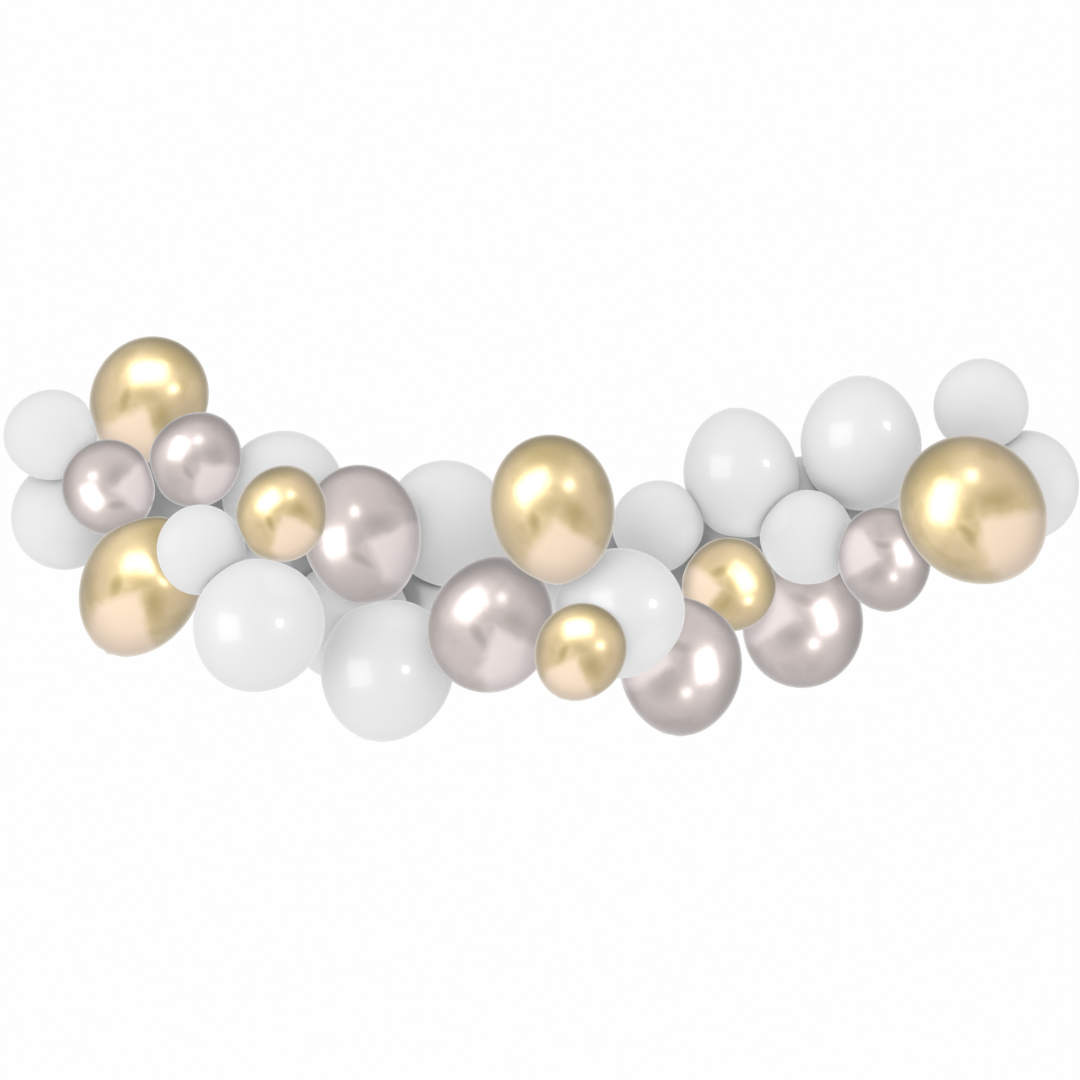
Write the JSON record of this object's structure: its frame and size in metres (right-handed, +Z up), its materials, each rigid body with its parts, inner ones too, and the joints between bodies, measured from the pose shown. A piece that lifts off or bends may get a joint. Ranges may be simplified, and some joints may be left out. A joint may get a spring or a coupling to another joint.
{
  "type": "balloon garland",
  "caption": "Swag-shaped garland of large and small round balloons tied along a flat plastic strip, made to hang on a wall.",
  "frame": {"origin": "on the back of the strip at the lowest point of the swag, where the middle is fastened to the wall", "axes": "+X to the right as seen from the front, +Y into the wall, +Z up; the balloons face -Y"},
  "size_m": [1.9968, 0.612, 0.7481],
  "materials": {
    "white_latex": "glossy white latex",
    "gold_chrome_latex": "gold chrome latex, shiny and metallic",
    "silver_chrome_latex": "mauve-silver chrome latex, shiny and metallic",
    "strip_plastic": "clear to milky plastic strip"
  },
  "bodies": {
    "root": {"white_balloon_01": "white_latex", "white_balloon_02": "white_latex", "white_balloon_03": "white_latex", "white_balloon_04": "white_latex", "white_balloon_05": "white_latex", "white_balloon_06": "white_latex", "white_balloon_07": "white_latex", "white_balloon_08": "white_latex", "white_balloon_09": "white_latex", "white_balloon_10": "white_latex", "white_balloon_11": "white_latex", "white_balloon_12": "white_latex", "white_balloon_13": "white_latex", "white_balloon_14": "white_latex", "white_balloon_15": "white_latex", "white_balloon_16": "white_latex", "white_balloon_17": "white_latex", "white_balloon_18": "white_latex", "white_balloon_19": "white_latex", "white_balloon_20": "white_latex", "white_balloon_21": "white_latex", "white_balloon_22": "white_latex", "white_balloon_23": "white_latex", "gold_balloon_1": "gold_chrome_latex", "gold_balloon_2": "gold_chrome_latex", "gold_balloon_3": "gold_chrome_latex", "gold_balloon_4": "gold_chrome_latex", "gold_balloon_5": "gold_chrome_latex", "gold_balloon_6": "gold_chrome_latex", "gold_balloon_7": "gold_chrome_latex", "silver_balloon_1": "silver_chrome_latex", "silver_balloon_2": "silver_chrome_latex", "silver_balloon_3": "silver_chrome_latex", "silver_balloon_4": "silver_chrome_latex", "silver_balloon_5": "silver_chrome_latex", "silver_balloon_6": "silver_chrome_latex", "silver_balloon_7": "silver_chrome_latex", "hanging_strip": "strip_plastic"}
  },
  "joints": []
}
